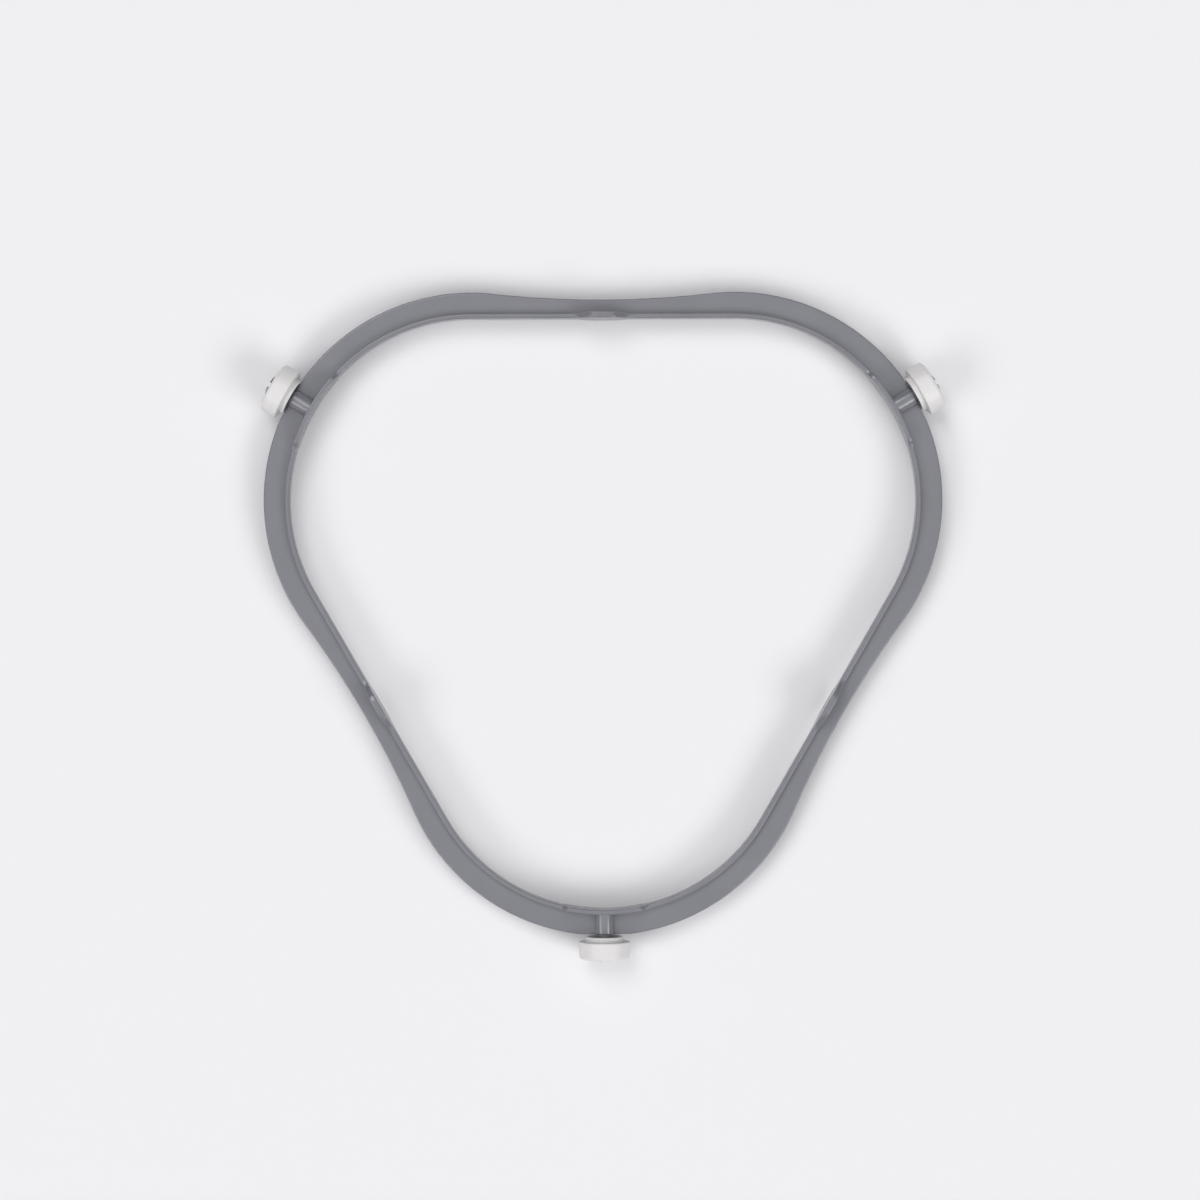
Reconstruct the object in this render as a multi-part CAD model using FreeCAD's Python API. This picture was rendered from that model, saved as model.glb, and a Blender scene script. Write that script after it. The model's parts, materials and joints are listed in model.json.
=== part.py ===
import FreeCAD, Part
import math
import os

from FreeCAD import Placement, Rotation, Vector

# Microwave roller ring, in millimetres. A three-lobed plastic ring frame lies flat, and a roller
# snaps onto the split axle that stands out of each lobe. +Z is up. The origin is the centre that
# the ring turns about, at the level of the oven floor that the rollers stand on.

# Rollers: a wide tread with a short hub on the side that faces the ring. The hub is cored out
# round the sleeve that runs on the axle, and the sleeve ends short of the hub's rim
roller_diameter = 15.0
tread_width = 5.2
tread_outer_round = 1.1
tread_inner_round = 0.4
hub_diameter = 10.8
hub_length = 1.4
hub_round = 0.25
rim_thickness = 0.8
sleeve_thickness = 1.0
sleeve_setback = 1.2
web_thickness = 2.6
bore_chamfer = 0.3

# Axles: a split stub with a barb at its tip that keeps the roller on
axle_diameter = 4.6
bore_clearance = 0.08
hub_gap = 0.1
end_play = 0.55
barb_overhang = 0.6
barb_length = 0.5
barb_land = 0.2
slot_width = 1.4
slot_depth = 6.0

# Each roller's direction from the centre, in degrees, and the share of its end play it has slid out
rollers = {
    "roller_front": (-90.0, 0.9),
    "roller_right": (30.0, 0.3),
    "roller_left": (150.0, 0.0),
}

# Frame in plan: the flange's outer edge is round lobes joined by hollow sides, and each lobe is cut
# flat behind its roller
lobe_distance = 44.6
lobe_radius = 60.9
side_radius = 289.0
flange_width = 6.35
wall_thickness = 1.45
flat_depth = 0.5

# Frame in height: the flange hangs just below the axles, and the wall stands along its inner edge
flange_below_axle = 0.6
flange_thickness = 1.6
flange_round = 0.5
wall_rise = 1.9
wall_drop = 3.2
wall_round = 0.4

# Shoulder: the stretch of taller wall that roots each axle
shoulder_rise = 3.4
shoulder_drop = 4.9
shoulder_flat = 19.4
shoulder_ramp = 3.7

# Rest pad: the raised and thicker stretch halfway along each side that stops a tipped tray
pad_rise = 5.9
pad_drop = 5.2
pad_flat = 3.2
pad_ramp = 7.8
pad_outer_depth = 0.3
pad_inner_depth = 0.15

# Boss: the round rib that carries the axle's root across the flange
boss_diameter = 5.5
boss_round = 0.4

# Worked-out heights
axle_height = roller_diameter / 2
flange_top = axle_height - flange_below_axle
flange_bottom = flange_top - flange_thickness
wall_top = flange_top + wall_rise
wall_bottom = flange_top - wall_drop

# Worked-out places in plan, from the centre outwards
lobe_step = 360.0 / len(rollers)
half_step = lobe_step / 2
first_lobe = min(angle for angle, share in rollers.values())
wall_outer_radius = lobe_radius - flange_width
wall_inner_radius = wall_outer_radius - wall_thickness
wall_middle_radius = wall_outer_radius - wall_thickness / 2
flange_apex = lobe_distance + lobe_radius
flat_apex = flange_apex - flat_depth
wall_apex = lobe_distance + wall_middle_radius
side_distance = lobe_distance * math.cos(math.radians(half_step))

# Worked-out places along an axle
roller_length = hub_length + tread_width
hub_start = flat_apex + hub_gap
barb_start = hub_start + roller_length + end_play
axle_tip = barb_start + barb_length
axle_radius = axle_diameter / 2
barb_radius = axle_radius + barb_overhang
bore_radius = axle_radius + bore_clearance
sleeve_radius = bore_radius + sleeve_thickness
rim_radius = hub_diameter / 2 - rim_thickness
core_depth = roller_length - web_thickness

# Solids that cut a piece, or pick out one stretch of it, reach this far past it
reach = 3.0
up = Vector(0, 0, 1)
lobe_angles = [first_lobe + lobe_step * index for index in range(len(rollers))]
side_angles = [angle + half_step for angle in lobe_angles]


def polar(radius, degrees, height=0.0):
    """A point at this distance and direction from the centre, at this height."""
    turn = math.radians(degrees)
    return Vector(radius * math.cos(turn), radius * math.sin(turn), height)


def line(start, end):
    return Part.LineSegment(start, end).toShape()


def arc(start, middle, end):
    return Part.Arc(start, middle, end).toShape()


def s_curve(start, end, along):
    """Two equal arcs from start to end that leave and arrive parallel to the direction along."""
    step = end - start
    run = step.dot(along)
    rise = step - along * run
    height = rise.Length
    side = rise / height
    radius = (run * run + height * height) / (4 * height)
    half_turn = math.asin(run / (2 * radius)) / 2
    bow = along * (radius * math.sin(half_turn)) + side * (radius * (1 - math.cos(half_turn)))
    middle = (start + end) / 2
    return [arc(start, start + bow, middle), arc(middle, end - bow, end)]


def flange_outline():
    """Closed outline of the flange's outer edge: each lobe's arc, then the hollow arc of a side."""
    spread = lobe_radius + side_radius
    half_chord = lobe_distance * math.sin(math.radians(half_step))
    side_centre = side_distance + math.sqrt(spread * spread - half_chord * half_chord)
    edges = []
    for angle in lobe_angles:
        lobe = polar(lobe_distance, angle)
        next_lobe = polar(lobe_distance, angle + lobe_step)
        before = polar(side_centre, angle - half_step)
        after = polar(side_centre, angle + half_step)
        start = lobe + (before - lobe) * (lobe_radius / spread)
        end = lobe + (after - lobe) * (lobe_radius / spread)
        next_start = next_lobe + (after - next_lobe) * (lobe_radius / spread)
        edges.append(arc(start, polar(flange_apex, angle), end))
        edges.append(arc(end, polar(side_centre - side_radius, angle + half_step), next_start))
    return Part.Wire(edges)


def wall_outline(radius, bulge):
    """Closed outline of one face of the wall: arcs round the lobes' centres, joined by straight
    sides. A bulge moves the middle of each side outwards, or inwards if it is below zero, by two
    S-curves."""
    edges = []
    for angle in lobe_angles:
        out = polar(1, angle + half_step)
        along = up.cross(out)
        start = polar(lobe_distance, angle) + polar(radius, angle - half_step)
        end = polar(lobe_distance, angle) + out * radius
        next_start = polar(lobe_distance, angle + lobe_step) + out * radius
        edges.append(arc(start, polar(lobe_distance + radius, angle), end))
        if bulge:
            middle = out * (side_distance + radius)
            half_length = along * (pad_flat / 2 + pad_ramp)
            crest = middle + out * bulge
            edges.append(line(end, middle - half_length))
            edges.extend(s_curve(middle - half_length, crest, along))
            edges.extend(s_curve(crest, middle + half_length, along))
            edges.append(line(middle + half_length, next_start))
        else:
            edges.append(line(end, next_start))
    return Part.Wire(edges)


def prism(outline, bottom, top):
    """The upright solid inside a closed outline, between two heights."""
    solid = Part.Face(outline).extrude(up * (top - bottom))
    solid.translate(up * bottom)
    return solid


def wall_stretch(angle, flat, ramp, rise, drop):
    """A solid that holds one raised stretch of the wall: its side view, with S-curved ramps at
    the top and bottom, drawn out along the direction at this angle."""
    out = polar(1, angle)
    along = up.cross(out)
    near = out * (side_distance + wall_inner_radius - reach)

    def place(across, height):
        return near + along * across + up * height

    crest = flange_top + rise
    base = flange_top - drop
    half_flat = flat / 2
    half_foot = half_flat + ramp
    half_end = half_foot + reach
    edges = [line(place(-half_end, wall_top), place(-half_foot, wall_top))]
    edges += s_curve(place(-half_foot, wall_top), place(-half_flat, crest), along)
    edges.append(line(place(-half_flat, crest), place(half_flat, crest)))
    edges += s_curve(place(half_flat, crest), place(half_foot, wall_top), along)
    edges.append(line(place(half_foot, wall_top), place(half_end, wall_top)))
    edges.append(line(place(half_end, wall_top), place(half_end, wall_bottom)))
    edges.append(line(place(half_end, wall_bottom), place(half_foot, wall_bottom)))
    edges += s_curve(place(half_foot, wall_bottom), place(half_flat, base), along * -1)
    edges.append(line(place(half_flat, base), place(-half_flat, base)))
    edges += s_curve(place(-half_flat, base), place(-half_foot, wall_bottom), along * -1)
    edges.append(line(place(-half_foot, wall_bottom), place(-half_end, wall_bottom)))
    edges.append(line(place(-half_end, wall_bottom), place(-half_end, wall_top)))
    length = flange_apex - out.dot(near)
    return Part.Face(Part.Wire(edges)).extrude(out * length)


def wall_band(bottom, top):
    """The wall's plan between two heights, all the way round."""
    outer = prism(wall_outline(wall_outer_radius, pad_outer_depth), bottom, top)
    inner = prism(wall_outline(wall_inner_radius, -pad_inner_depth), bottom, top)
    return outer.cut(inner)


def make_wall():
    """The upright wall: low all the way round, taller at each axle and at each rest pad, with its
    top and bottom edges rounded."""
    stretches = [wall_stretch(angle, shoulder_flat, shoulder_ramp, shoulder_rise, shoulder_drop)
                 for angle in lobe_angles]
    stretches += [wall_stretch(angle, pad_flat, pad_ramp, pad_rise, pad_drop)
                  for angle in side_angles]
    low = wall_band(wall_bottom, wall_top).cut(stretches)
    tall = wall_band(flange_top - max(shoulder_drop, pad_drop), flange_top + max(shoulder_rise, pad_rise))
    wall = low.fuse([tall.common(stretch) for stretch in stretches]).removeSplitter()
    return wall.makeFillet(wall_round, long_edges(wall))


def long_edges(wall):
    """The edges that run along the wall, at the top and at the bottom of its two faces."""
    faces = [wall_outline(wall_outer_radius, pad_outer_depth),
             wall_outline(wall_inner_radius, -pad_inner_depth)]
    chosen = []
    for edge in wall.Edges:
        middle = edge.valueAt((edge.FirstParameter + edge.LastParameter) / 2)
        in_plan = Part.Vertex(middle.x, middle.y, 0)
        if min(in_plan.distToShape(face)[0] for face in faces) < wall_thickness / 10:
            chosen.append(edge)
    return chosen


def make_flange():
    """The flat flange, rounded along its outer edge, cut flat behind each roller and open inside the
    wall."""
    plate = prism(flange_outline(), flange_bottom, flange_top)
    rims = [edge for edge in plate.Edges if edge.BoundBox.ZLength < flange_round / 10]
    plate = plate.makeFillet(flange_round, rims)
    waste = [prism(wall_outline(wall_middle_radius, 0), flange_bottom - reach, flange_top + reach)]
    for angle in lobe_angles:
        slab = Part.makeBox(reach, lobe_radius, flange_thickness + 2 * reach,
                            Vector(flat_apex, -lobe_radius / 2, flange_bottom - reach))
        slab.rotate(Vector(), up, angle)
        waste.append(slab)
    return plate.cut(waste)


def make_axle():
    """A boss, split axle and barb along +X, at the height of the roller's centre."""
    axis = Vector(1, 0, 0)
    boss = Part.makeCylinder(boss_diameter / 2, flat_apex - wall_apex,
                             Vector(wall_apex, 0, axle_height), axis)
    rim = [edge for edge in boss.Edges if edge.BoundBox.XMin > wall_apex + boss_round]
    boss = boss.makeFillet(boss_round, rim)
    stub = Part.makeCylinder(axle_radius, barb_start + barb_land - wall_apex,
                             Vector(wall_apex, 0, axle_height), axis)
    land = Part.makeCylinder(barb_radius, barb_land, Vector(barb_start, 0, axle_height), axis)
    nose = Part.makeCone(barb_radius, axle_radius - barb_land, barb_length - barb_land,
                         Vector(barb_start + barb_land, 0, axle_height), axis)
    slot = Part.makeBox(slot_depth, slot_width, 2 * barb_radius,
                        Vector(axle_tip - slot_depth, -slot_width / 2, axle_height - barb_radius))
    return boss.fuse([stub, land, nose]).cut(slot)


def make_frame():
    """The ring frame: flange, wall and axles, moulded as one piece."""
    pieces = [make_wall()]
    for angle in lobe_angles:
        axle = make_axle()
        axle.rotate(Vector(), up, angle)
        pieces.append(axle)
    return make_flange().fuse(pieces).removeSplitter()


def make_roller(angle, slide):
    """A roller turned from its half section, set on the axle at this angle and slid outwards."""
    tread_radius = roller_diameter / 2
    hub_radius = hub_diameter / 2
    corner = 1 - math.sqrt(0.5)

    def point(along, radius):
        return Vector(along, 0, radius)

    edges = [
        line(point(sleeve_setback + bore_chamfer, bore_radius),
             point(sleeve_setback, bore_radius + bore_chamfer)),
        line(point(sleeve_setback, bore_radius + bore_chamfer), point(sleeve_setback, sleeve_radius)),
        line(point(sleeve_setback, sleeve_radius), point(core_depth, sleeve_radius)),
        line(point(core_depth, sleeve_radius), point(core_depth, rim_radius)),
        line(point(core_depth, rim_radius), point(0, rim_radius)),
        line(point(0, rim_radius), point(0, hub_radius - hub_round)),
        arc(point(0, hub_radius - hub_round),
            point(hub_round * corner, hub_radius - hub_round * corner),
            point(hub_round, hub_radius)),
        line(point(hub_round, hub_radius), point(hub_length, hub_radius)),
        line(point(hub_length, hub_radius), point(hub_length, tread_radius - tread_inner_round)),
        arc(point(hub_length, tread_radius - tread_inner_round),
            point(hub_length + tread_inner_round * corner, tread_radius - tread_inner_round * corner),
            point(hub_length + tread_inner_round, tread_radius)),
        line(point(hub_length + tread_inner_round, tread_radius),
             point(roller_length - tread_outer_round, tread_radius)),
        arc(point(roller_length - tread_outer_round, tread_radius),
            point(roller_length - tread_outer_round * corner, tread_radius - tread_outer_round * corner),
            point(roller_length, tread_radius - tread_outer_round)),
        line(point(roller_length, tread_radius - tread_outer_round),
             point(roller_length, bore_radius + bore_chamfer)),
        line(point(roller_length, bore_radius + bore_chamfer),
             point(roller_length - bore_chamfer, bore_radius)),
        line(point(roller_length - bore_chamfer, bore_radius),
             point(sleeve_setback + bore_chamfer, bore_radius)),
    ]
    roller = Part.Face(Part.Wire(edges)).revolve(Vector(), Vector(1, 0, 0), 360)
    roller.Placement = Placement(polar(hub_start + slide, angle, axle_height), Rotation(up, angle))
    return roller


os.makedirs("parts", exist_ok=True)
make_frame().exportStep("parts/ring_frame.step")
for name, (angle, slide_share) in rollers.items():
    make_roller(angle, slide_share * end_play).exportStep("parts/" + name + ".step")
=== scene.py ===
import json
import math

import bmesh
import bpy
import numpy as np
from bpy.props import FloatProperty, FloatVectorProperty, PointerProperty
from bpy.types import Operator, Panel, PropertyGroup
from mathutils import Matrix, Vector


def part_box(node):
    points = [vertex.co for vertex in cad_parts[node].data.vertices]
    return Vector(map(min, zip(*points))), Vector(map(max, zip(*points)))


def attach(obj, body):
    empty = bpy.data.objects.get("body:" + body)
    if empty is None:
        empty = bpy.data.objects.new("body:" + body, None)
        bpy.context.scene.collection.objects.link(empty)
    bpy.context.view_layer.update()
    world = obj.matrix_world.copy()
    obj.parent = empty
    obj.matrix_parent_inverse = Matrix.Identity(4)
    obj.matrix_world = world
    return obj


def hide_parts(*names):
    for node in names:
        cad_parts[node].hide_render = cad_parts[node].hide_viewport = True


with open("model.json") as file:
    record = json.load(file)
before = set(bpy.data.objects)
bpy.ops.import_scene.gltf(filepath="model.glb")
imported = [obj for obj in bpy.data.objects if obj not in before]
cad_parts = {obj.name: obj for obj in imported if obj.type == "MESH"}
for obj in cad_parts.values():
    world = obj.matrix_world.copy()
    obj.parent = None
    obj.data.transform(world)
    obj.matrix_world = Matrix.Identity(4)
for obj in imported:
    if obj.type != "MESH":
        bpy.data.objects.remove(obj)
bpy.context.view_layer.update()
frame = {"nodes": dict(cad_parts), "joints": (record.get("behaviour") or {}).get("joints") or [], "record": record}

bl_info = {
    "name": "Microwave roller ring",
    "version": (1, 0, 0),
    "blender": (4, 5, 0),
    "location": "View3D > Sidebar > Roller ring",
    "description": "Builds a three-lobed roller ring, its rollers and the stage that it lies on",
    "category": "Add Mesh",
}

MM = 0.001

# Width of the camera's sensor in millimetres. The picture that it is framed for is square
SENSOR_WIDTH = 36.0

# Steps round an edge. A corner with one step is a chamfer
ROUND_STEPS = 5
CHAMFER = 1

# How near to a rounded edge the guard points lie that keep flat faces flat
GUARD = 0.15 * MM

# Steps round an axle and round a roller
AXLE_STEPS = 80
ROLLER_STEPS = 128

# Longest steps along the ring: where its wall is level, over the slopes of a shoulder and of a rest
# pad, round the rest of a lobe and along a straight
LEVEL_STEP = 1.0 * MM
SHOULDER_STEP = 0.25 * MM
PAD_STEP = 0.3 * MM
LOBE_STEP = 1.25 * MM
STRAIGHT_STEP = 2.0 * MM

# Edges shorter than this are closed up where pieces were joined or cut
SPECK = 0.002 * MM

# Edges that turn by more than this are shaded sharp
SHARPEST = math.radians(35)

# The range that a noise texture seldom leaves, and how far a plastic's roughness drifts either way
NOISE_LOW = 0.3
NOISE_HIGH = 0.7
ROUGHNESS_DRIFT = 0.05


def hex_to_linear(code):
    """Linear light values of an sRGB colour that is written as six hex digits."""
    channels = np.array([int(code[start:start + 2], 16) for start in (0, 2, 4)]) / 255
    return tuple(np.where(channels <= 0.04045, channels / 12.92, ((channels + 0.055) / 1.055) ** 2.4))


def length(name, description, millimetres):
    """A property that holds a length."""
    return FloatProperty(name=name, description=description, default=millimetres * MM,
                         unit="LENGTH", subtype="DISTANCE", precision=5)


def colour(name, description, code):
    """A property that holds a colour, from its sRGB hex digits."""
    return FloatVectorProperty(name=name, description=description, default=hex_to_linear(code),
                               size=3, min=0.0, max=1.0, subtype="COLOR")


def angle(name, description, degrees):
    """A property that holds an angle."""
    return FloatProperty(name=name, description=description, default=math.radians(degrees),
                         unit="ROTATION", subtype="ANGLE")


def number(name, description, default):
    """A property that holds a plain number."""
    return FloatProperty(name=name, description=description, default=default)


class RingSizes(PropertyGroup):
    """Sizes of the ring frame."""

    lobe_distance: length("Lobe distance", "From the ring's centre to the centre of each lobe", 44.6)
    lobe_radius: length("Lobe radius", "Radius of the flange's outer edge round a lobe", 60.9)
    side_radius: length("Side radius", "Radius of the hollow side of the flange", 289.0)
    flange_width: length("Flange width", "From the wall to the flange's outer edge at a lobe", 6.35)
    flat_depth: length("Flat depth", "How far the flange's edge is cut back behind a roller", 0.5)
    flange_thickness: length("Flange thickness", "Height of the flat flange", 1.6)
    flange_below_axle: length("Flange below axle", "From the axle's centre to the flange's top", 0.6)
    flange_round: length("Flange round", "Radius along the flange's outer edges", 0.5)
    flat_round: length("Flat round", "Radius along the flange's edges behind a roller", 0.05)
    wall_thickness: length("Wall thickness", "Thickness of the upright wall", 1.45)
    wall_rise: length("Wall rise", "Height of the low wall over the flange's top", 1.9)
    wall_drop: length("Wall drop", "Depth of the low wall under the flange's top", 3.2)
    wall_round: length("Wall round", "Radius along the wall's edges", 0.4)
    root_round: length("Root round", "Radius in the corners where the flange meets the wall", 0.05)
    shoulder_rise: length("Shoulder rise", "Height of the wall at an axle over the flange's top", 3.4)
    shoulder_drop: length("Shoulder drop", "Depth of the wall at an axle under the flange's top", 4.9)
    shoulder_flat: length("Shoulder flat", "Length of the level part of the wall at an axle", 19.4)
    shoulder_ramp: length("Shoulder ramp", "Length of the slope at each end of a shoulder", 3.7)
    pad_rise: length("Pad rise", "Height of a rest pad over the flange's top", 5.9)
    pad_drop: length("Pad drop", "Depth of a rest pad under the flange's top", 5.2)
    pad_flat: length("Pad flat", "Length of the level part of a rest pad", 3.2)
    pad_ramp: length("Pad ramp", "Length of the slope at each end of a rest pad", 7.8)
    pad_outer_depth: length("Pad outer depth", "How far a rest pad swells outwards", 0.3)
    pad_inner_depth: length("Pad inner depth", "How far a rest pad swells inwards", 0.15)


class AxleSizes(PropertyGroup):
    """Sizes of the bosses and split axles that are moulded with the ring frame."""

    boss_diameter: length("Boss diameter", "Diameter of the round rib across the flange", 5.5)
    boss_round: length("Boss round", "Radius at the boss's end", 0.4)
    axle_diameter: length("Axle diameter", "Diameter of the axle that a roller turns on", 4.6)
    barb_start: length("Barb start", "From the ring's centre to the step behind the barb", 112.25)
    barb_overhang: length("Barb overhang", "How far the barb stands out past the axle", 0.6)
    barb_length: length("Barb length", "Length of the barb and its sloping nose", 0.5)
    barb_land: length("Barb land", "Length of the barb's straight part", 0.2)
    slot_width: length("Slot width", "Width of the slot that splits the axle", 1.4)
    slot_depth: length("Slot depth", "Depth of the slot from the tip", 6.0)


class RollerSizes(PropertyGroup):
    """Sizes of the rollers."""

    tread_width: length("Tread width", "Width of the part that rolls", 5.2)
    tread_outer_round: length("Tread outer round", "Radius at the tread's outer edge", 1.1)
    tread_inner_round: length("Tread inner round", "Radius at the tread's inner edge", 0.4)
    hub_diameter: length("Hub diameter", "Diameter of the short hub that faces the ring", 10.8)
    hub_round: length("Hub round", "Radius at the hub's edge", 0.25)
    step_round: length("Step round", "Radius in the corner where the hub meets the tread", 0.125)
    rim_thickness: length("Rim thickness", "Thickness of the hub's rim round its core", 0.8)
    sleeve_thickness: length("Sleeve thickness", "Thickness of the sleeve round the axle", 1.0)
    sleeve_setback: length("Sleeve setback", "How far the sleeve ends short of the hub's rim", 1.2)
    web_thickness: length("Web thickness", "Thickness of the web that closes the core", 2.6)
    core_round: length("Core round", "Radius along the core's edges", 0.1)
    bore_diameter: length("Bore diameter", "Diameter of the hole for the axle", 4.76)
    bore_chamfer: length("Bore chamfer", "Chamfer at both ends of the hole", 0.3)


class Finishes(PropertyGroup):
    """Colours of the two plastics and of the floor."""

    ring_colour: colour("Ring colour", "Grey of the moulded ring frame", "797A81")
    roller_colour: colour("Roller colour", "White of the moulded rollers", "E4E2E2")
    floor_colour: colour("Floor colour", "Pale floor under the ring", "F2F1F4")


class StageSettings(PropertyGroup):
    """Camera, lamps and floor."""

    camera_height: length("Camera height", "From the floor up to the camera", 950.0)
    camera_x: length("Camera across", "Sideways place of the camera from the ring's centre", -0.99)
    camera_y: length("Camera along", "Lengthways place of the camera from the ring's centre", -7.06)
    camera_turn: angle("Camera turn", "Turn of the camera about its own line of sight", -0.2)
    picture_width: length("Picture width", "Width of the floor that the picture shows", 354.3)
    floor_width: length("Floor width", "Width of the plain floor", 100000.0)
    lamp_distance: length("Lamp distance", "From the ring's centre to each lamp", 15000.0)
    front_width: length("Front width", "Width of the long front lamps", 12000.0)
    front_height: length("Front height", "Height of the long front lamps", 6500.0)
    back_width: length("Back width", "Size of the round back lamp", 9000.0)
    ceiling_width: length("Ceiling width", "Size of the round lamp overhead", 24000.0)
    front_lean: angle("Front lean", "From straight up to the direction of each front lamp", 52.0)
    left_spread: angle("Left spread", "From the front to the front left lamp, seen from above", 60.0)
    right_spread: angle("Right spread", "From the front to the front right lamp, seen from above", 54.0)
    back_lean: angle("Back lean", "From straight up to the direction of the back lamp", 33.0)
    back_spread: angle("Back spread", "From the back to the back lamp, seen from above", 32.0)
    front_left_light: number("Front left light", "Share of the light from the front left", 0.165)
    front_right_light: number("Front right light", "Share of the light from the front right", 0.225)
    back_light: number("Back light", "Share of the light from the back", 0.18)
    ceiling_light: number("Ceiling light", "Share of the light from overhead", 0.3)
    sky_light: number("Sky light", "Share of the light from all round", 0.12)


def rounded_loop(corners, leaving, rounds, steps):
    """Points of a closed section, from its square corners (..., corner, 2). Round each corner they
    follow a quarter circle that touches the run before and the run after, so that a point at turn t is
    the corner, less the round times (1 - sin t) along the run before, plus the round times (1 - cos t)
    along the run after. Two guard points follow on each run, close to its ends. The leaving directions
    and steps are one for each corner, and the rounds match the corners."""
    count = corners.shape[-2]
    rings = []
    for here in range(count):
        after = (here + 1) % count
        run_before = leaving[here - 1]
        run_after = leaving[here]
        turn = np.linspace(0, math.pi / 2, steps[here] + 1)[:, None]
        corner = corners[..., here, None, :]
        radius = rounds[..., here, None, None]
        back = run_before * radius * (1 - np.sin(turn))
        onward = run_after * radius * (1 - np.cos(turn))
        rings.append(corner - back + onward)
        start = corner + run_after * radius
        end = corners[..., after, None, :] - run_after * rounds[..., after, None, None]
        reach = np.sum((end - start) * run_after, axis=-1, keepdims=True)
        guard = run_after * np.minimum(GUARD, reach / 3)
        rings += [start + guard, end - guard]
    return np.concatenate(rings, axis=-2)


def raised(distance, flat, ramp, rise):
    """Height of a raised stretch at a distance from its middle: the whole rise over the flat, and over
    the ramp two equal arcs that leave and arrive level. Each arc's bow at a run x is
    R - sqrt(R^2 - x^2), with R = (ramp^2 + rise^2) / (4 rise)."""
    run = np.clip(flat / 2 + ramp - distance, 0, ramp)
    radius = (ramp * ramp + rise * rise) / (4 * rise)
    near = np.minimum(run, ramp - run)
    bow = radius - np.sqrt(radius * radius - near * near)
    return np.where(run < ramp / 2, bow, rise - bow)


def stations(stops, steps):
    """Values from the first stop to the last, with every stop among them and even steps between, no
    longer than the step that is given for that stretch."""
    pieces = []
    for start, end, step in zip(stops, stops[1:], steps):
        pieces.append(np.linspace(start, end, math.ceil((end - start) / step), endpoint=False))
    return np.concatenate(pieces + [stops[-1:]])


def grid_object(name, points, closed_ends):
    """A smooth object through a grid of points (rows, columns, 3) whose rows are closed loops. The last
    row joins the first, or else a flat cap closes each end."""
    rows, columns = points.shape[:2]
    index = np.arange(rows * columns).reshape(rows, columns)
    index = np.hstack([index, index[:, :1]])
    if not closed_ends:
        index = np.vstack([index, index[:1]])
    quads = np.stack([index[:-1, :-1], index[1:, :-1], index[1:, 1:], index[:-1, 1:]], axis=-1)
    faces = quads.reshape(-1, 4).tolist()
    if closed_ends:
        faces += [index[0, :-1].tolist(), index[-1, -2::-1].tolist()]
    mesh = bpy.data.meshes.new(name)
    mesh.from_pydata(points.reshape(-1, 3).tolist(), [], faces)
    mesh.update()
    made = bpy.data.objects.new(name, mesh)
    bpy.context.scene.collection.objects.link(made)
    return made


def smooth(made):
    """Shades an object smooth, apart from its sharp edges."""
    made.data.shade_smooth()
    made.data.set_sharp_from_angle(angle=SHARPEST)


def combine(made, operation, others):
    """Joins other objects to a closed object, or cuts them out of it, closes up the specks of edges
    that this leaves, and removes the other objects."""
    for other in others:
        modifier = made.modifiers.new(operation, "BOOLEAN")
        modifier.operation = operation
        modifier.solver = "EXACT"
        modifier.object = other
    evaluated = made.evaluated_get(bpy.context.evaluated_depsgraph_get())
    merged = bpy.data.meshes.new_from_object(evaluated)
    made.modifiers.clear()
    clean = bmesh.new()
    clean.from_mesh(merged)
    bmesh.ops.dissolve_degenerate(clean, dist=SPECK, edges=clean.edges)
    clean.to_mesh(merged)
    clean.free()
    plain = made.data
    made.data = merged
    merged.name = plain.name
    bpy.data.meshes.remove(plain)
    for other in others:
        bpy.data.meshes.remove(other.data)


def add_node(tree, kind, settings=None, inputs=None, links=None):
    """Adds a shader node, sets its settings and input values, and links its inputs to other outputs."""
    node = tree.nodes.new(kind)
    for name, value in (settings or {}).items():
        setattr(node, name, value)
    for name, value in (inputs or {}).items():
        node.inputs[name].default_value = value
    for name, output in (links or {}).items():
        tree.links.new(output, node.inputs[name])
    return node


def drifting(tree, noise, middle, drift):
    """Values that drift with a noise to both sides of a middle value, as a node's output."""
    node = add_node(tree, "ShaderNodeMapRange",
                    inputs={"From Min": NOISE_LOW, "From Max": NOISE_HIGH,
                            "To Min": middle - drift, "To Max": middle + drift},
                    links={"Value": noise.outputs["Fac"]})
    return node.outputs["Result"]


def moulded_plastic(name, base, mottle_size, mottle, grit_size, grit_depth, roughness, ior):
    """A moulded plastic. Its colour drifts a little over the mottle size, and its grit gives the
    surface a soft grain and an uneven gloss."""
    material = bpy.data.materials.new(name)
    material.use_nodes = True
    tree = material.node_tree
    tree.nodes.clear()
    place = add_node(tree, "ShaderNodeTexCoord")
    flow = add_node(tree, "ShaderNodeTexNoise", inputs={"Scale": 1 / mottle_size, "Detail": 3.0},
                    links={"Vector": place.outputs["Object"]})
    grit = add_node(tree, "ShaderNodeTexNoise", inputs={"Scale": 1 / grit_size, "Detail": 2.0},
                    links={"Vector": place.outputs["Object"]})
    shade = add_node(tree, "ShaderNodeVectorMath", {"operation": "SCALE"}, {0: base},
                     {"Scale": drifting(tree, flow, 1, mottle)})
    bump = add_node(tree, "ShaderNodeBump", inputs={"Strength": 0.5, "Distance": grit_depth},
                    links={"Height": grit.outputs["Fac"]})
    shader = add_node(tree, "ShaderNodeBsdfPrincipled", inputs={"IOR": ior},
                      links={"Base Color": shade.outputs["Vector"],
                             "Roughness": drifting(tree, grit, roughness, ROUGHNESS_DRIFT),
                             "Normal": bump.outputs["Normal"]})
    add_node(tree, "ShaderNodeOutputMaterial", links={"Surface": shader.outputs["BSDF"]})
    return material


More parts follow.
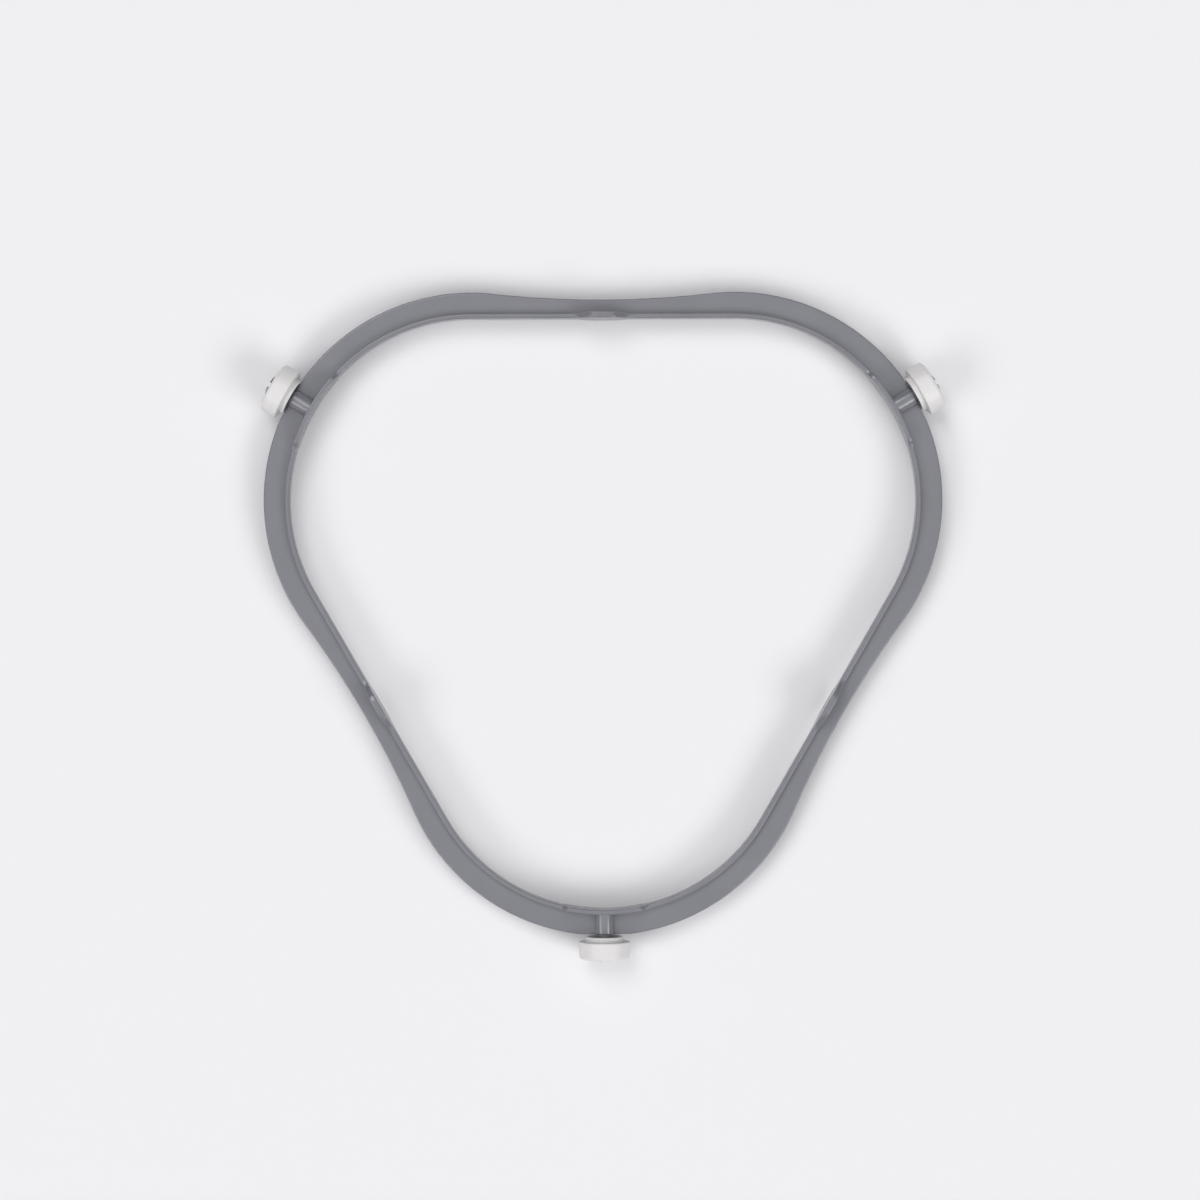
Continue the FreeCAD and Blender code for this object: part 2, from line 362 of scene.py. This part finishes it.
def dress(made, material, body, nodes):
    """Gives a finished piece its material and its body, and hides the nodes that it takes the place of."""
    made.data.materials.clear()
    made.data.materials.append(material)
    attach(made, body)
    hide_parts(*nodes)


def axle_directions():
    """The level direction of each roller's axle, by the roller's body."""
    return {joint["child"]: np.array(joint["axis"]) for joint in frame["joints"]}


def body_node(body):
    """The one node that a body holds."""
    return frame["record"]["behaviour"]["bodies"][body][0]


def axle_height():
    """Height of the rollers' centres over the floor."""
    return frame["joints"][0]["pos_m"][2]


def axle_span(node, out):
    """Where a node starts and ends along an axle's direction, from the ring's centre."""
    vertices = frame["nodes"][node].data.vertices
    places = np.empty(3 * len(vertices))
    vertices.foreach_get("co", places)
    along = places.reshape(-1, 3) @ out
    return along.min(), along.max()


def lathe(profile, out, steps):
    """Points of a profile (point, 2), of places along an axle and radii, turned round that axle: each
    point is the place along the axle's direction, plus the radius times the cosine of the turn across
    it and the sine of the turn upwards."""
    turn = np.linspace(0, 2 * math.pi, steps, endpoint=False)
    across = np.cross(out, [0, 0, 1])
    spoke = np.cos(turn)[:, None] * across + np.sin(turn)[:, None] * np.array([0, 0, 1])
    points = profile[:, 0, None, None] * out + profile[:, 1, None, None] * spoke
    return points + np.array([0, 0, axle_height()])


def half_side(sizes):
    """The line of the wall's outer face from an axle to the middle of the next side, seen with that
    side at the top: places and outward directions (station, 2), with the distance from the axle, the
    distance from the side's middle, the flange's width and how far its edge is cut back at each
    station."""
    half_step = math.pi / len(frame["joints"])
    face_radius = sizes.lobe_radius - sizes.flange_width
    middle_radius = face_radius - sizes.wall_thickness / 2
    half_chord = sizes.lobe_distance * math.sin(half_step)
    side_distance = sizes.lobe_distance * math.cos(half_step)

    # Round the lobe: a turn from the axle's direction to the side's, which starts behind the roller
    flat_distance = sizes.lobe_radius - sizes.flat_depth
    flat_end = math.acos(flat_distance / sizes.lobe_radius)
    level = math.asin(sizes.shoulder_flat / 2 / middle_radius)
    low = math.asin((sizes.shoulder_flat / 2 + sizes.shoulder_ramp) / middle_radius)
    stops = np.array([0, flat_end, level, low, half_step])
    steps = np.array([LEVEL_STEP, LEVEL_STEP, SHOULDER_STEP, LOBE_STEP]) / middle_radius
    turn = stations(stops, steps)[:-1]
    out_round = np.stack([np.sin(turn - half_step), np.cos(turn - half_step)], axis=-1)
    place_round = np.array([-half_chord, side_distance]) + face_radius * out_round
    edge_round = np.minimum(sizes.lobe_radius, flat_distance / np.cos(turn))

    # Along the straight: a distance from the side's middle
    pad_end = sizes.pad_flat / 2 + sizes.pad_ramp
    stops = np.array([-half_chord, -pad_end, -sizes.pad_flat / 2, 0])
    along = stations(stops, [STRAIGHT_STEP, PAD_STEP, LEVEL_STEP])
    out_straight = np.stack([np.zeros_like(along), np.ones_like(along)], axis=-1)
    place_straight = np.stack([along, np.full_like(along, side_distance + face_radius)], axis=-1)

    # The flange's edge over the straight: the lobe's arc, until the side's hollow arc takes over
    spread = sizes.lobe_radius + sizes.side_radius
    side_centre = side_distance + math.sqrt(spread * spread - half_chord * half_chord)
    change = half_chord * sizes.side_radius / spread
    lobe_run = np.clip(half_chord + along, 0, sizes.lobe_radius)
    on_lobe = side_distance + np.sqrt(sizes.lobe_radius ** 2 - lobe_run ** 2)
    on_side = side_centre - np.sqrt(sizes.side_radius ** 2 - along ** 2)
    edge = np.where(-along > change, on_lobe, on_side)

    far = np.full_like(along, half_chord)
    return {
        "place": np.concatenate([place_round, place_straight]),
        "out": np.concatenate([out_round, out_straight]),
        "from_axle": np.concatenate([middle_radius * np.sin(turn), far]),
        "from_middle": np.concatenate([np.full_like(turn, half_chord), -along]),
        "width": np.concatenate([edge_round - face_radius, edge - side_distance - face_radius]),
        "cut": np.concatenate([sizes.lobe_radius - edge_round, np.zeros_like(along)]),
    }


def whole_side(half):
    """Both halves of a side, from one axle to just before the next: the second half is the first one
    mirrored and run backwards."""
    flip = {"place": np.array([-1, 1]), "out": np.array([-1, 1])}
    whole = {}
    for key, value in half.items():
        mirrored = value * flip.get(key, 1)
        whole[key] = np.concatenate([value, mirrored[-2:0:-1]])
    return whole


def ring_section(path, sizes):
    """The frame's upright section at each station of a path (station, point, 2), as distances outwards
    from the wall's outer face and heights. The flange stands out of a wall whose top and bottom rise
    and drop with the shoulder and the rest pad, and the rest pad swells to both sides. The flange's
    edge gets sharper the further it is cut back."""
    top = axle_height() - sizes.flange_below_axle
    shoulder = (path["from_axle"], sizes.shoulder_flat, sizes.shoulder_ramp)
    pad = (path["from_middle"], sizes.pad_flat, sizes.pad_ramp)
    crest = top + sizes.wall_rise
    crest = crest + raised(*shoulder, sizes.shoulder_rise - sizes.wall_rise)
    crest = crest + raised(*pad, sizes.pad_rise - sizes.wall_rise)
    base = top - sizes.wall_drop
    base = base - raised(*shoulder, sizes.shoulder_drop - sizes.wall_drop)
    base = base - raised(*pad, sizes.pad_drop - sizes.wall_drop)
    outer = raised(*pad, sizes.pad_outer_depth)
    inner = -sizes.wall_thickness - raised(*pad, sizes.pad_inner_depth)
    over = np.full_like(crest, top)
    under = np.full_like(crest, top - sizes.flange_thickness)
    edge = path["width"]
    corners = np.stack([
        np.stack([edge, over], axis=-1),
        np.stack([outer, over], axis=-1),
        np.stack([outer, crest], axis=-1),
        np.stack([inner, crest], axis=-1),
        np.stack([inner, base], axis=-1),
        np.stack([outer, base], axis=-1),
        np.stack([outer, under], axis=-1),
        np.stack([edge, under], axis=-1),
    ], axis=-2)
    inwards, outwards = np.array([-1, 0]), np.array([1, 0])
    upwards, downwards = np.array([0, 1]), np.array([0, -1])
    leaving = [inwards, upwards, inwards, downwards, outwards, upwards, outwards, upwards]
    cut = path["cut"] / sizes.flat_depth
    rim = sizes.flange_round * (1 - cut) + sizes.flat_round * cut
    root = np.full_like(crest, sizes.root_round)
    wall = np.full_like(crest, sizes.wall_round)
    rounds = np.stack([rim, root, wall, wall, wall, wall, root, rim], axis=-1)
    return rounded_loop(corners, leaving, rounds, [ROUND_STEPS] * len(leaving))


def ring_points(sizes):
    """Points of the whole frame (station, point, 3): one side's sections, set out along the wall's line
    and turned to each side in order round the ring."""
    path = whole_side(half_side(sizes))
    section = ring_section(path, sizes)
    plan = path["place"][:, None, :] + path["out"][:, None, :] * section[..., :1]
    step = 2 * math.pi / len(frame["joints"])
    turns = sorted(math.atan2(out[1], out[0]) + step / 2 for out in axle_directions().values())
    sides = []
    for turn in turns:
        out = np.array([math.cos(turn), math.sin(turn)])
        along = np.array([-out[1], out[0]])
        spread = plan[..., :1] * along + plan[..., 1:] * out
        sides.append(np.concatenate([spread, section[..., 1:]], axis=-1))
    return np.concatenate(sides)


def axle_profile(ring, axle):
    """Places along the axle and radii of the boss, the axle and its barb, from the middle of the wall
    to the tip."""
    apex = ring.lobe_distance + ring.lobe_radius
    root = apex - ring.flange_width - ring.wall_thickness / 2
    boss_end = apex - ring.flat_depth
    boss_radius = axle.boss_diameter / 2
    radius = axle.axle_diameter / 2
    barb = radius + axle.barb_overhang
    turn = np.linspace(0, math.pi / 2, ROUND_STEPS)
    rim = np.stack([boss_end - axle.boss_round * (1 - np.sin(turn)),
                    boss_radius - axle.boss_round * (1 - np.cos(turn))], axis=-1)
    return np.concatenate([
        np.array([[root, boss_radius]]),
        rim,
        np.array([
            [boss_end, radius],
            [axle.barb_start, radius],
            [axle.barb_start, barb],
            [axle.barb_start + axle.barb_land, barb],
            [axle.barb_start + axle.barb_length, radius - axle.barb_land],
        ]),
    ])


def slot_points(axle, out):
    """Points of the upright slab that splits an axle's tip (end, corner, 3). It stands well past the
    axle above, below and at the tip."""
    tip = axle.barb_start + axle.barb_length
    tall = axle.axle_diameter + axle.barb_overhang
    across = np.cross(out, [0, 0, 1]) * axle.slot_width / 2
    rise = np.array([0, 0, tall])
    centre = np.array([0, 0, axle_height()])
    ends = [centre + out * (tip - axle.slot_depth), centre + out * (tip + axle.slot_depth)]
    square = np.array([across - rise, across + rise, -across + rise, -across - rise])
    return np.array([end + square for end in ends])


def roller_profile(rollers, box_length, radius):
    """The roller's half section: places along the axle from the hub's face, and radii."""
    bore = rollers.bore_diameter / 2
    sleeve = bore + rollers.sleeve_thickness
    hub = rollers.hub_diameter / 2
    rim = hub - rollers.rim_thickness
    core = box_length - rollers.web_thickness
    setback = rollers.sleeve_setback
    step = box_length - rollers.tread_width
    corners = np.array([
        [setback, bore], [setback, sleeve], [core, sleeve], [core, rim], [0, rim],
        [0, hub], [step, hub], [step, radius], [box_length, radius], [box_length, bore],
    ])
    outwards, onwards = np.array([0, 1]), np.array([1, 0])
    leaving = [outwards, onwards, outwards, -onwards, outwards,
               onwards, outwards, onwards, -outwards, -onwards]
    rounds = np.array([rollers.bore_chamfer] + 4 * [rollers.core_round] + [
        rollers.hub_round, rollers.step_round, rollers.tread_inner_round,
        rollers.tread_outer_round, rollers.bore_chamfer,
    ])
    steps = [CHAMFER] + 7 * [ROUND_STEPS] + [2 * ROUND_STEPS, CHAMFER]
    return rounded_loop(corners, leaving, rounds, steps)


class MESH_OT_roller_ring_frame(Operator):
    """Builds the ring frame with its bosses and split axles as one moulded piece"""

    bl_idname = "mesh.roller_ring_frame"
    bl_label = "Ring frame"

    def execute(self, context):
        ring = context.scene.roller_ring_sizes
        axle = context.scene.roller_ring_axles
        finish = context.scene.roller_ring_finishes
        made = grid_object("moulded_ring_frame", ring_points(ring), closed_ends=False)
        profile = axle_profile(ring, axle)
        axles = []
        for body, out in axle_directions().items():
            stub = grid_object("axle_" + body, lathe(profile, out, AXLE_STEPS), closed_ends=True)
            slot = grid_object("slot_" + body, slot_points(axle, out), closed_ends=True)
            combine(stub, "DIFFERENCE", [slot])
            axles.append(stub)
        combine(made, "UNION", axles)
        smooth(made)

        # Glass-filled polyester from a lightly eroded mould: an even mid grey with a clear gleam along
        # its rounded edges. The grit is drawn three times as coarse as it is, to show
        plastic = moulded_plastic("moulded glass-filled polyester", finish.ring_colour,
                                  mottle_size=14 * MM, mottle=0.04, grit_size=0.5 * MM,
                                  grit_depth=0.02 * MM, roughness=0.22, ior=1.7)
        dress(made, plastic, "ring", ["ring_frame"])
        return {"FINISHED"}


class MESH_OT_roller_ring_rollers(Operator):
    """Builds a roller on each axle"""

    bl_idname = "mesh.roller_ring_rollers"
    bl_label = "Rollers"

    def execute(self, context):
        rollers = context.scene.roller_ring_rollers
        finish = context.scene.roller_ring_finishes

        # Acetal from a polished mould: a clean, slightly warm white that is smooth and a little waxy
        plastic = moulded_plastic("moulded acetal", finish.roller_colour,
                                  mottle_size=6 * MM, mottle=0.015, grit_size=0.6 * MM,
                                  grit_depth=0.008 * MM, roughness=0.38, ior=1.48)
        for body, out in axle_directions().items():
            node = body_node(body)
            start, end = axle_span(node, out)
            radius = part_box(node)[1].z - axle_height()
            profile = roller_profile(rollers, end - start, radius) + np.array([start, 0])
            made = grid_object("moulded_" + node, lathe(profile, out, ROLLER_STEPS), closed_ends=False)
            smooth(made)
            dress(made, plastic, body, [node])
        return {"FINISHED"}


class SCENE_OT_roller_ring_stage(Operator):
    """Sets out the floor, the soft lamps, the even light and the camera"""

    bl_idname = "scene.roller_ring_stage"
    bl_label = "Stage"

    def execute(self, context):
        stage = context.scene.roller_ring_stage
        finish = context.scene.roller_ring_finishes

        half = stage.floor_width / 2
        mesh = bpy.data.meshes.new("floor")
        corners = [(-half, -half, 0), (half, -half, 0), (half, half, 0), (-half, half, 0)]
        mesh.from_pydata(corners, [], [(0, 1, 2, 3)])
        floor = bpy.data.objects.new("floor", mesh)
        context.scene.collection.objects.link(floor)

        # Matt paper, which spreads the light evenly and has no gleam
        paper = bpy.data.materials.new("matt paper")
        paper.use_nodes = True
        shader = paper.node_tree.nodes["Principled BSDF"]
        shader.inputs["Base Color"].default_value = (*finish.floor_colour, 1.0)
        shader.inputs["Roughness"].default_value = 0.9
        shader.inputs["Specular IOR Level"].default_value = 0.0
        mesh.materials.append(paper)

        # Each lamp's lean from straight up, turn from the front, width, height and share of the light
        front = (stage.front_width, stage.front_height)
        back = (stage.back_width, stage.back_width)
        overhead = (stage.ceiling_width, stage.ceiling_width)
        lamps = {
            "front_left_lamp": (stage.front_lean, -stage.left_spread, *front, stage.front_left_light),
            "front_right_lamp": (stage.front_lean, stage.right_spread, *front, stage.front_right_light),
            "back_lamp": (stage.back_lean, math.pi + stage.back_spread, *back, stage.back_light),
            "ceiling_lamp": (0, 0, *overhead, stage.ceiling_light),
        }
        for name, (lean, heading, width, height, share) in lamps.items():
            lamp = bpy.data.lights.new(name, "AREA")
            lamp.shape = "ELLIPSE"
            lamp.size = width
            lamp.size_y = height

            # A whole share is the light that shows a white floor as white
            spread = stage.lamp_distance ** 2 + width * height / 4
            lamp.energy = share * math.pi ** 2 * spread / math.cos(lean)
            place = Vector((
                math.sin(heading) * math.sin(lean),
                -math.cos(heading) * math.sin(lean),
                math.cos(lean),
            ))
            stand = bpy.data.objects.new(name, lamp)
            stand.location = place * stage.lamp_distance
            stand.rotation_euler = place.to_track_quat("Z", "Y").to_euler()
            context.scene.collection.objects.link(stand)

        world = bpy.data.worlds.new("even light")
        world.use_nodes = True
        background = world.node_tree.nodes["Background"]
        background.inputs["Color"].default_value = (1.0, 1.0, 1.0, 1.0)
        background.inputs["Strength"].default_value = stage.sky_light
        context.scene.world = world
        context.scene.view_settings.view_transform = "Standard"

        lens = bpy.data.cameras.new("camera")
        lens.sensor_width = SENSOR_WIDTH
        lens.lens = SENSOR_WIDTH * stage.camera_height / stage.picture_width
        camera = bpy.data.objects.new("camera", lens)
        camera.location = (stage.camera_x, stage.camera_y, stage.camera_height)
        camera.rotation_euler = (0, 0, stage.camera_turn)
        context.scene.collection.objects.link(camera)
        context.scene.camera = camera
        return {"FINISHED"}


class VIEW3D_PT_roller_ring(Panel):
    """Lists the pieces and the stage in the sidebar"""

    bl_label = "Roller ring"
    bl_idname = "VIEW3D_PT_roller_ring"
    bl_space_type = "VIEW_3D"
    bl_region_type = "UI"
    bl_category = "Roller ring"

    def draw(self, context):
        for operator in OPERATORS:
            self.layout.operator(operator.bl_idname)
        for name in SETTINGS:
            group = getattr(context.scene, name)
            box = self.layout.box()
            for field in group.__annotations__:
                box.prop(group, field)


OPERATORS = [MESH_OT_roller_ring_frame, MESH_OT_roller_ring_rollers, SCENE_OT_roller_ring_stage]
SETTINGS = {
    "roller_ring_sizes": RingSizes,
    "roller_ring_axles": AxleSizes,
    "roller_ring_rollers": RollerSizes,
    "roller_ring_finishes": Finishes,
    "roller_ring_stage": StageSettings,
}


def register():
    for name, group in SETTINGS.items():
        bpy.utils.register_class(group)
        setattr(bpy.types.Scene, name, PointerProperty(type=group))
    for kind in OPERATORS + [VIEW3D_PT_roller_ring]:
        bpy.utils.register_class(kind)


def unregister():
    for kind in OPERATORS + [VIEW3D_PT_roller_ring]:
        bpy.utils.unregister_class(kind)
    for name, group in SETTINGS.items():
        delattr(bpy.types.Scene, name)
        bpy.utils.unregister_class(group)


def main():
    register()
    bpy.ops.mesh.roller_ring_frame()
    bpy.ops.mesh.roller_ring_rollers()
    bpy.ops.scene.roller_ring_stage()


if __name__ == "__main__":
    main()
